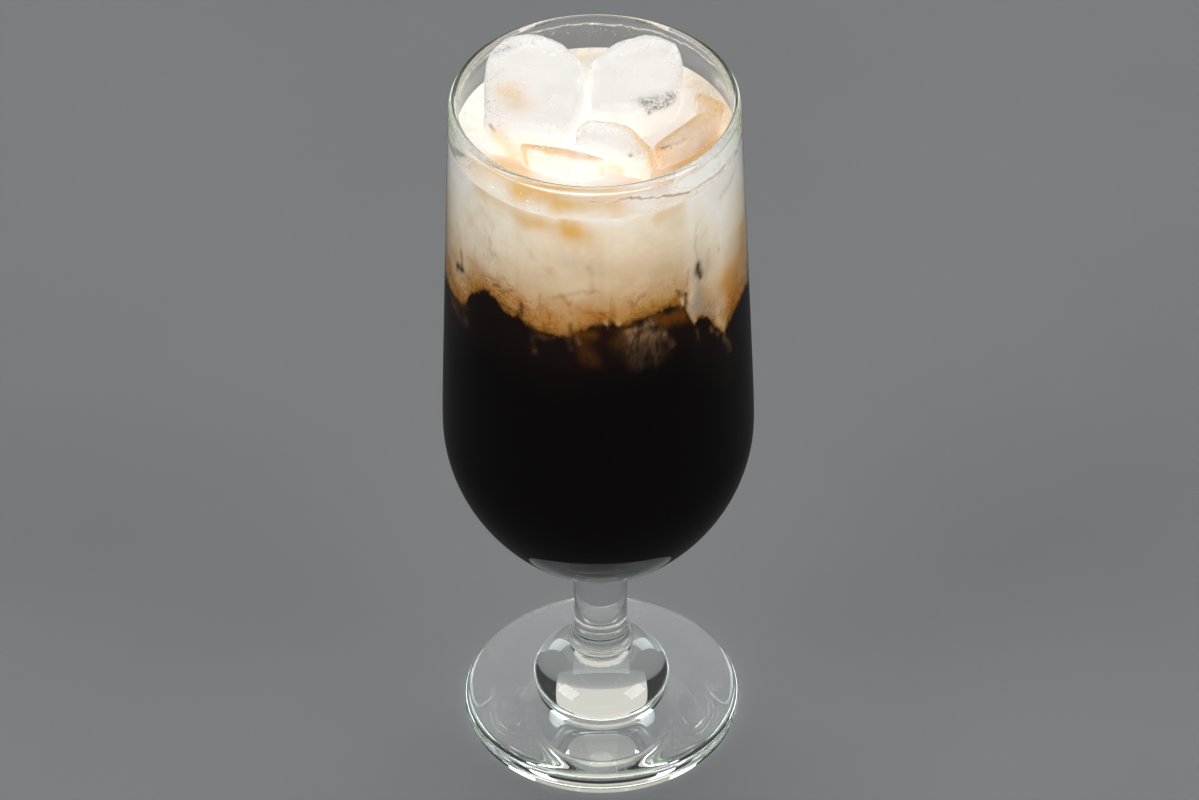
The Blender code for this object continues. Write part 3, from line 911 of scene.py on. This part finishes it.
# %% [markdown]
# ## Ice
# Ice from a tray starts as a clear block with a cloudy heart, and melts to soft edges, shallow
# hollows and a frosted skin where it has touched other ice. Each block here starts as a copy of
# its solid in the frame. A voxel remesh gives it an even skin, and noise then wears that skin.

# %% Strokes on the ice
# Start and end in millimetres, radius, strength
AMBER_ON_ICE = (
    ((-19.8, 4, 190), (-17.4, -0.5, 190), 3.0, 0.8),
    ((-22, -7.5, 186), (-18, -9, 181.5), 2.6, 0.7),
    ((-16.6, -11.7, 187.2), (2.4, -16.5, 187.2), 1.6, 1.3),
    ((-10, -14, 187.2), (0, -17, 187.2), 1.5, 1.1),
    ((-16.6, -12, 185.4), (-16, -13, 182), 1.1, 0.9),
    ((2.5, -15.6, 181.6), (5, -15.9, 181.6), 1.5, 0.8),
    ((-16, -13.5, 183), (2, -18, 183), 2.6, 0.35),
    ((-4.6, -9.5, 186.8), (-4, -6.2, 187.2), 0.7, 0.8),
    ((-4, -6.2, 187.2), (-1.4, -4.1, 187.4), 0.7, 0.9),
    ((-1.4, -4.1, 187.4), (4.8, -4.2, 187.4), 0.8, 0.9),
    ((4.8, -4.2, 187.4), (8.6, -7, 187.3), 1.3, 1.1),
    ((8.6, -7, 187.3), (13.2, -13.6, 186.9), 1.6, 1.2),
    ((13.2, -13.6, 186.9), (12.6, -18, 185), 1.2, 0.9), ((14, -13, 185), (29, 1, 185), 5.0, 0.75),
    ((23.4, 7, 186), (29.4, 3.8, 186), 2.8, 0.9),
    ((13.8, -12, 186.2), (23.6, -1, 186.2), 1.0, 0.8),
)
BROWN_ON_ICE = (
    ((-23.6, -6.2, 187.6), (-22.8, -6.9, 186.8), 0.5, 0.9),
    ((7.8, -16.2, 186.4), (7.9, -16.1, 186.2), 0.45, 1.0),
    ((15, -13.5, 185.9), (17, -12.2, 185.9), 0.3, 0.8),
    ((18.4, -11.4, 185.9), (20.4, -10.2, 185.9), 0.3, 0.7),
    ((-9, -11.3, 186.4), (-8.8, -11.4, 186.2), 0.25, 0.7),
)
GREY_ON_ICE = (
    ((11, 0.8, 188), (18.6, 4.4, 187), 1.5, 1.2),
    ((12.4, -0.8, 187), (18.8, 2.6, 186.6), 0.9, 1.0),
    ((16.8, 17, 190), (18.6, 15, 189), 0.5, 0.7),
    ((-23, 17, 190.8), (-19.6, 19, 191.2), 1.2, 0.5),
    ((-25.4, 2, 188), (-25.2, 12, 188.5), 0.8, 0.45),
)
FROST_ON_ICE = (
    ((-25, -5, 187.5), (-25, 16, 189.5), 3.6, 1.0), ((-22, 18, 190.6), (-8, 24, 190), 1.8, 0.8),
    ((6, 23, 189), (18, 22, 189), 1.8, 0.8), ((19, 16, 189), (20, 6, 187), 1.6, 0.7),
    ((-14, -15, 183), (-5, -17.6, 183), 2.2, 0.8), ((12, -16, 185), (11, -9, 186), 1.0, 0.8),
    ((-4.5, -8, 187), (-3.5, -12, 186), 1.0, 0.8),
    ((14.4, -13.9, 185.8), (21, -9.8, 185.8), 0.9, 1.0),
)


print("strokes on the ice:",
      len(AMBER_ON_ICE + BROWN_ON_ICE + GREY_ON_ICE + FROST_ON_ICE))

# %% Wear the ice
ICE_NODES = ("ice_left", "ice_right", "ice_front", "ice_slab", "ice_amber")
ICE_VOXEL = 0.0004
# Size and amount of the curl in the stains, in millimetres
STAIN_CURLS = ((2.5, 0.5),)
HOLLOW_DEPTH, HOLLOW_LENGTH = 0.00040, 0.0065
PIT_DEPTH, PIT_LENGTH = 0.00012, 0.0011
# The share of the pits' depth on ice that isn't frosted
CLEAR_ICE_PITS = 0.3


def ice_strokes(strokes, places):
    """Sum the strokes at places on the ice, in millimetres."""
    total = np.zeros(len(places))
    for start, end, radius, strength in strokes:
        reach = np.array(end, dtype=float) - np.array(start)
        from_start = places - np.array(start)
        share = np.clip(from_start @ reach / max(reach @ reach, 1e-9), 0.0, 1.0)
        away = np.linalg.norm(from_start - share[:, None] * reach, axis=1)
        total += strength * np.exp(-(away / radius) ** 2)
    return total


def worn_ice(name):
    """A finer, worn copy of one block."""
    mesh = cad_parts[name].data.copy()
    mesh.name = "worn_" + name
    shape = bmesh.new()
    shape.from_mesh(mesh)
    bmesh.ops.remove_doubles(shape, verts=shape.verts[:], dist=0.000001)
    shape.to_mesh(mesh)
    shape.free()
    block = new_object("worn_" + name, mesh)
    remesh = block.modifiers.new("even_skin", "REMESH")
    remesh.mode = "VOXEL"
    remesh.voxel_size = ICE_VOXEL
    soften = block.modifiers.new("soften", "SMOOTH")
    soften.factor = 0.5
    soften.iterations = 2
    finished_copy(block)
    skin = block.data
    places = np.array([vertex.co[:] for vertex in skin.vertices]) * 1000.0
    for label, strokes in (("amber", AMBER_ON_ICE), ("brown", BROWN_ON_ICE),
                           ("grey", GREY_ON_ICE), ("frost", FROST_ON_ICE)):
        store_numbers(skin, label, ice_strokes(strokes, curled(places, STAIN_CURLS)))
    frost = ice_strokes(FROST_ON_ICE, places)
    normals = [vertex.normal.copy() for vertex in skin.vertices]
    for vertex, normal, roughness in zip(skin.vertices, normals, frost):
        hollow = noise.noise(vertex.co / HOLLOW_LENGTH)
        pit = noise.noise(vertex.co / PIT_LENGTH)
        vertex.co += normal * (
            HOLLOW_DEPTH * hollow + PIT_DEPTH * pit * (CLEAR_ICE_PITS + roughness))
    skin.shade_smooth()
    return block


# %% The ice material
ICE_IOR = 1.31
ICE_CLEARNESS = 0.42
ICE_SHADOW = (0.90, 0.90, 0.90, 1.0)
ICE_WHITE = screen_colour(254, 252, 250)
ICE_AMBER_TINT = (0.93, 0.66, 0.37, 1.0)
ICE_BROWN = screen_colour(120, 78, 40)
ICE_GREY = screen_colour(128, 124, 120)


def ice_material():
    """Wet, cloudy ice, frosted in places, with amber and brown stains."""
    material, tree, shader, place = new_material("cloudy_ice")
    lumps = drifting_noise(tree, place, 160.0, push=0.003)
    grain = drifting_noise(tree, place, 1500.0, detail=2.0)
    amber = times(tree, attribute_value(tree, "amber"),
                  spread(tree, lumps, 0.25, 0.55, 0.4, 1.0), clamp=True)
    colour = mix_colour(tree, amber, ICE_WHITE, ICE_AMBER_TINT, blend="MULTIPLY")
    cracked = times(tree, attribute_value(tree, "grey"),
                    spread(tree, grain, 0.20, 0.68), clamp=True)
    colour = mix_colour(tree, cracked, colour, ICE_GREY)
    speckled = times(tree, attribute_value(tree, "frost"),
                     spread(tree, grain, 0.58, 0.70), clamp=True)
    colour = mix_colour(tree, times(tree, speckled, 0.95), colour, ICE_GREY)
    colour = mix_colour(tree, math_node(tree, "MINIMUM", attribute_value(tree, "brown"), 1.0),
                        colour, ICE_BROWN)
    frost = math_node(tree, "MULTIPLY_ADD", attribute_value(tree, "frost"), 0.35,
                      spread(tree, lumps, 0.42, 0.66, 0.05, 0.35), clamp=True)
    relief = math_node(tree, "MULTIPLY_ADD", grain, 0.3, lumps)
    fill_inputs(tree, shader, {
        "Base Color": colour, "Roughness": frost, "IOR": ICE_IOR,
        "Transmission Weight": ICE_CLEARNESS, "Normal": bump(tree, relief, 0.35, 0.0006)})
    let_shadow_rays_through(tree, shader, ICE_SHADOW)
    return material


ice_look = ice_material()
for name in ICE_NODES:
    block = worn_ice(name)
    block.data.materials.clear()
    block.data.materials.append(ice_look)
    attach(block, "root")
    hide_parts(name)
    print(block.name, "has", triangle_count(block), "triangles")

# %% [markdown]
# ## The film on the wall
# Above the drink the wall is wet. Milk has dried on it in a white patch at the right front, and
# left a tan tide line. The pale line under the rim is partly dried milk and partly a painted
# highlight, standing in for the bright inner edge of the rolled rim. The film is a closed band
# that straddles the inner face of the wall, so it has no edge in the air, and it shows only where
# its strokes give it an alpha. It carries the strokes for drops and specks too, which come after
# it.

# %% Strokes on the film
# Start azimuth and height, end azimuth and height, half width, strength
COVER_STROKES = (
    (36, 186.6, 74, 186, 1.9, 1.2), (44, 183.6, 80, 183.6, 1.6, 1.0),
    (36, 184.8, 46, 183.8, 1.0, 0.7), (-84, 184, -62, 183, 1.4, 0.22),
    (95, 186, 118, 184, 1.6, 0.35),
)
TIDE_STROKES = (
    (-2, 186.1, 14, 185.8, 0.25, 0.8), (14, 185.8, 28, 184.7, 0.28, 0.9),
    (28, 184.7, 33, 183.3, 0.32, 1.0), (33, 183.3, 39, 182.4, 0.32, 1.0),
    (39, 182.4, 62, 182.0, 0.28, 0.7),
)
# The pale line under the rim: partly dried milk, partly a painted highlight for the rim's inner
# edge
SHEEN_STROKES = ((-180, 187.9, -60, 187.9, 0.20, 1.0), (60, 187.9, 180, 187.9, 0.20, 1.0))
DROP_STROKES = (
    (-180, 186.4, -150, 186.2, 1.8, 0.42), (164, 186, 179, 186.4, 1.6, 0.18),
    (-100, 186, -84, 184, 1.4, 0.3), (100, 186, 120, 184, 1.4, 0.2),
)
GRIT_STROKES = ((42, 183.4, 74, 186.4, 1.8, 0.7), (50, 187, 76, 185, 1.2, 0.4))


print("strokes on the film:", len(
    COVER_STROKES + TIDE_STROKES + SHEEN_STROKES + DROP_STROKES + GRIT_STROKES))

# %% The film
FILM_LOW = 0.1806
FILM_HIGH = 0.1884
# How far the film lies inside the wall, and how far it stands out into the air
FILM_IN_GLASS = 0.00010
FILM_IN_AIR = 0.00004
FILM_ROWS = 22
FILM_CURLS = ((5.0, 0.8), (1.5, 0.35))


def film_rings():
    """Up the side of the film that lies in the wall, and down the side in the air."""
    shares = [row / FILM_ROWS for row in range(FILM_ROWS + 1)]
    rings = []
    for run, reach in ((shares, FILM_IN_GLASS), (shares[::-1], -FILM_IN_AIR)):
        for share in run:
            height = FILM_LOW + (FILM_HIGH - FILM_LOW) * share
            rings.append(wall_ring(np.full(AROUND, height), reach))
    return rings


film = new_object("milk_film", ring_mesh("milk_film", film_rings(), hollow=True))
film_places = np.array([vertex.co[:] for vertex in film.data.vertices]) * 1000.0
film_x, film_y, film_z = curled(film_places, FILM_CURLS).T
for label, strokes in (("cover", COVER_STROKES), ("tide", TIDE_STROKES),
                       ("sheen", SHEEN_STROKES), ("drops", DROP_STROKES),
                       ("grit", GRIT_STROKES)):
    painted = wall_strokes(strokes, azimuth_of(film_x, film_y), film_z)
    store_numbers(film.data, label, painted)
print("the film has", triangle_count(film), "triangles")

# %% The film material
DRIED_CREAM = screen_colour(255, 246, 234)
DRIED_WHITE = screen_colour(255, 253, 248)
TIDE_TAN = screen_colour(176, 128, 78)


def film_material():
    """Dried milk: cream, tan at its tide line, clear elsewhere, and a partly painted highlight
    under the rim.
    """
    material, tree, shader, place = new_material("dried_milk_and_sheen")
    lumps = drifting_noise(tree, place, 420.0, push=0.003, push_scale=150.0)
    grain = drifting_noise(tree, place, 1600.0, detail=2.0)
    tide = attribute_value(tree, "tide")
    colour = mix_colour(tree, grain, DRIED_CREAM, DRIED_WHITE)
    colour = mix_colour(tree, math_node(tree, "MINIMUM", tide, 1.0), colour, TIDE_TAN)
    cover = times(tree, attribute_value(tree, "cover"),
                  spread(tree, lumps, 0.22, 0.50, 0.65, 1.0), clamp=True)
    line = times(tree, tide, spread(tree, grain, 0.25, 0.55, 0.3, 1.0), clamp=True)
    # The line under the rim: partly dried milk, partly a painted highlight
    sheen = times(tree, attribute_value(tree, "sheen"), lumps)
    alpha = math_node(tree, "MAXIMUM", math_node(tree, "MAXIMUM", cover, line), sheen)
    fill_inputs(tree, shader, {
        "Base Color": colour, "Alpha": alpha, "Roughness": 0.8, "Specular IOR Level": 0.0})
    return material


film.data.materials.append(film_material())
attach(film, "root")
print("the film has the material", film.data.materials[0].name)

# %% [markdown]
# ## Bubbles, drops and specks
# Froth, splashes and grains of coffee are the same rule: many small round things, scattered over
# a surface, thicker where a stored number is larger. One Geometry Nodes tree does it: it
# scatters points, sets an icosphere on each with a random size, and realizes them.

# %% The scattering tree
def scatter_tree():
    """Small rounds over a surface, with density taken from a named number."""
    tree = bpy.data.node_groups.new("scatter_rounds", "GeometryNodeTree")
    face = tree.interface
    face.new_socket("Geometry", in_out="INPUT", socket_type="NodeSocketGeometry")
    for label, kind, value in (
        ("Thickest", "NodeSocketFloat", 1.0e6), ("Number Name", "NodeSocketString", "froth"),
        ("Smallest", "NodeSocketFloat", 0.0001), ("Largest", "NodeSocketFloat", 0.0003),
        ("Flatness", "NodeSocketFloat", 1.0), ("Seed", "NodeSocketInt", 1),
        ("Material", "NodeSocketMaterial", None),
    ):
        socket = face.new_socket(label, in_out="INPUT", socket_type=kind)
        if value is not None:
            socket.default_value = value
    face.new_socket("Geometry", in_out="OUTPUT", socket_type="NodeSocketGeometry")
    given = add_node(tree, "NodeGroupInput").outputs
    number = add_node(tree, "GeometryNodeInputNamedAttribute", {"data_type": "FLOAT"},
                      {"Name": given["Number Name"]})
    scatter = add_node(tree, "GeometryNodeDistributePointsOnFaces", values={
        "Mesh": given["Geometry"], "Seed": given["Seed"],
        "Density": times(tree, number.outputs[0], given["Thickest"])})
    size = add_node(tree, "FunctionNodeRandomValue", {"data_type": "FLOAT"}, {
        2: given["Smallest"], 3: given["Largest"], "Seed": given["Seed"]}).outputs[1]
    shape = add_node(tree, "ShaderNodeCombineXYZ", values={
        "X": size, "Y": size, "Z": times(tree, size, given["Flatness"])})
    ball = add_node(tree, "GeometryNodeMeshIcoSphere", values={"Radius": 1.0, "Subdivisions": 1})
    balls = add_node(tree, "GeometryNodeInstanceOnPoints", values={
        "Points": scatter.outputs["Points"], "Instance": ball.outputs["Mesh"],
        "Rotation": scatter.outputs["Rotation"], "Scale": shape.outputs[0]})
    made = balls.outputs["Instances"]
    for kind, values in (("GeometryNodeRealizeInstances", {}), ("GeometryNodeSetShadeSmooth", {}),
                         ("GeometryNodeSetMaterial", {"Material": given["Material"]})):
        made = add_node(tree, kind, values={"Geometry": made, **values}).outputs["Geometry"]
    add_node(tree, "NodeGroupOutput", values={"Geometry": made})
    return tree


SCATTER = scatter_tree()
print("the scattering tree has", len(SCATTER.nodes), "nodes")

# %% Run the tree
def scattered(name, host, number_name, thickest, sizes, flatness, seed, material):
    """Run the tree over a copy of a host's mesh, and keep the finished rounds."""
    made = new_object(name, host.data.copy())
    run = made.modifiers.new("scatter", "NODES")
    run.node_group = SCATTER
    values = {"Thickest": thickest, "Number Name": number_name, "Smallest": sizes[0],
              "Largest": sizes[1], "Flatness": flatness, "Seed": seed, "Material": material}
    for item in SCATTER.interface.items_tree:
        if item.in_out == "INPUT" and item.name in values:
            run[item.identifier] = values[item.name]
    finished_copy(made)
    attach(made, "root")
    print(name, "has", triangle_count(made), "triangles")
    return made


# %% Froth, drops and specks
def wet_material(name, dark, light, transmission, ior):
    """A wet finish, mottled between two screen colours."""
    material, tree, shader, place = new_material(name)
    mottle = drifting_noise(tree, place, 900.0, detail=2.0)
    colour = mix_colour(tree, mottle, screen_colour(*dark), screen_colour(*light))
    fill_inputs(tree, shader, {
        "Base Color": colour, "Roughness": 0.12, "Transmission Weight": transmission, "IOR": ior})
    return material


froth_look = wet_material("froth_bubbles", (236, 220, 196), (253, 248, 240), 0.0, 1.33)
drop_look = wet_material("milky_drops", (232, 214, 188), (252, 248, 242), 0.55, 1.33)
speck_look = wet_material("coffee_specks", (70, 38, 16), (150, 96, 48), 0.0, 1.45)
froth = scattered("froth", milk, "froth", 2.2e6, (0.00010, 0.00034), 0.8, 4, froth_look)
drops = scattered("drops_on_wall", film, "drops", 1.6e6, (0.00005, 0.00020), 0.5, 9, drop_look)
specks = scattered("specks", film, "grit", 4.0e4, (0.00006, 0.00016), 0.6, 21, speck_look)

# %% [markdown]
# ## Floor, light and camera
# A plain pale floor and soft lights. The camera stands where the photograph's perspective puts
# it: far off with a long lens, looking down on the glass, and rolled by less than a degree.
# Light crosses many faces of glass before it leaves, so the limits on its bounces are raised.

# %% The floor
FLOOR_DROP = 0.0002
FLOOR_RADIUS = 3.0
FLOOR_SIDES = 96
FLOOR_DARK = (0.25, 0.25, 0.252, 1.0)
FLOOR_LIGHT = (0.275, 0.275, 0.277, 1.0)


def floor_material():
    """Pale matt floor with the faintest mottling."""
    material, tree, shader, place = new_material("pale_floor")
    mottle = drifting_noise(tree, place, 14.0, detail=4.0)
    fill_inputs(tree, shader, {
        "Base Color": mix_colour(tree, mottle, FLOOR_DARK, FLOOR_LIGHT), "Roughness": 0.85,
        "Specular IOR Level": 0.2})
    return material


def disc_mesh(name, radius, height, sides):
    """A flat round sheet."""
    shape = bmesh.new()
    bmesh.ops.create_circle(shape, cap_ends=True, segments=sides, radius=radius)
    for vertex in shape.verts:
        vertex.co.z = height
    return mesh_from(name, shape)


floor = new_object("floor", disc_mesh("floor", FLOOR_RADIUS, -FLOOR_DROP, FLOOR_SIDES),
                   floor_material())
floor.visible_glossy = False
print("the floor lies", FLOOR_DROP, "m under the foot")

# %% Lights
def add_area_light(name, place, aim, size, power, colour):
    """A soft rectangular lamp that looks at a point."""
    lamp = bpy.data.lights.new(name, "AREA")
    lamp.shape = "RECTANGLE"
    lamp.size, lamp.size_y = size
    lamp.energy = power
    lamp.color = colour
    made = bpy.data.objects.new(name, lamp)
    bpy.context.scene.collection.objects.link(made)
    made.location = place
    made.rotation_euler = (Vector(aim) - Vector(place)).to_track_quat("-Z", "Y").to_euler()
    return made


GLASS_MIDDLE = (0.0, 0.0, 0.12)
COOL = (0.86, 0.93, 1.0)
WARM = (1.0, 0.96, 0.90)
# Name, place, aim, size, power in watts, colour
LAMPS = (
    ("over", (0.0, 0.30, 1.40), (0.0, 0.0, 0.18), (0.9, 0.9), 3.9, (1.0, 0.99, 0.97)),
    ("behind", (0.0, 1.42, 1.50), GLASS_MIDDLE, (2.3, 1.30), 6.6, WARM),
    ("low_behind", (0.0, 1.90, 0.72), GLASS_MIDDLE, (2.6, 0.50), 2.6, WARM),
    ("front", (0.1, -1.6, 0.42), GLASS_MIDDLE, (1.2, 0.6), 12.8, (1.0, 0.98, 0.95)),
    ("left_side", (-1.2, -0.6, 0.9), GLASS_MIDDLE, (0.8, 0.8), 8.2, COOL),
    ("right_side", (1.2, -0.6, 0.9), GLASS_MIDDLE, (0.8, 0.8), 7.4, COOL),
    ("left_window", (-0.78, 1.3, 0.50), GLASS_MIDDLE, (0.34, 0.72), 3.2, COOL),
    ("right_window", (0.78, 1.3, 0.50), GLASS_MIDDLE, (0.34, 0.72), 3.2, COOL),
)
lamps = {lamp[0]: add_area_light(*lamp) for lamp in LAMPS}
# The front lamp lights the drink, but isn't mirrored in the glass
lamps["front"].visible_glossy = False
print(len(lamps), "lamps give", sum(made.data.energy for made in lamps.values()), "watts")

# %% The light of the room
WORLD_COLOUR = (0.75, 0.76, 0.78, 1.0)
WORLD_STRENGTH = 0.06

world = bpy.data.worlds.new("studio")
bpy.context.scene.world = world
world.use_nodes = True
even_light = world.node_tree.nodes["Background"]
even_light.inputs["Color"].default_value = WORLD_COLOUR
even_light.inputs["Strength"].default_value = WORLD_STRENGTH
print("the even light has the strength", WORLD_STRENGTH)

# %% The camera
IMAGE_WIDTH = 1199
FOCAL_PIXELS = 5000.0
SENSOR_WIDTH = 36.0
CAMERA_PLACE = Vector((0.00031, -0.9105, 0.8816))
LOOK_DOWN = math.radians(40.66)
ROLL = math.radians(0.67)

lens = bpy.data.cameras.new("camera")
lens.sensor_width = SENSOR_WIDTH
lens.lens = FOCAL_PIXELS * SENSOR_WIDTH / IMAGE_WIDTH
camera = bpy.data.objects.new("camera", lens)
bpy.context.scene.collection.objects.link(camera)
tilt = Matrix.Rotation(math.pi / 2 - LOOK_DOWN, 4, "X") @ Matrix.Rotation(-ROLL, 4, "Z")
camera.matrix_world = Matrix.Translation(CAMERA_PLACE) @ tilt
bpy.context.scene.camera = camera
print("the camera stands", CAMERA_PLACE.length, "m from the foot's middle")

# %% Render quality that the glass needs
scene = bpy.context.scene
scene.cycles.max_bounces = 32
scene.cycles.transmission_bounces = 20
scene.cycles.glossy_bounces = 20
scene.cycles.transparent_max_bounces = 24
scene.cycles.caustics_reflective = False
scene.view_settings.view_transform = "Standard"
print("light may bounce", scene.cycles.max_bounces, "times")
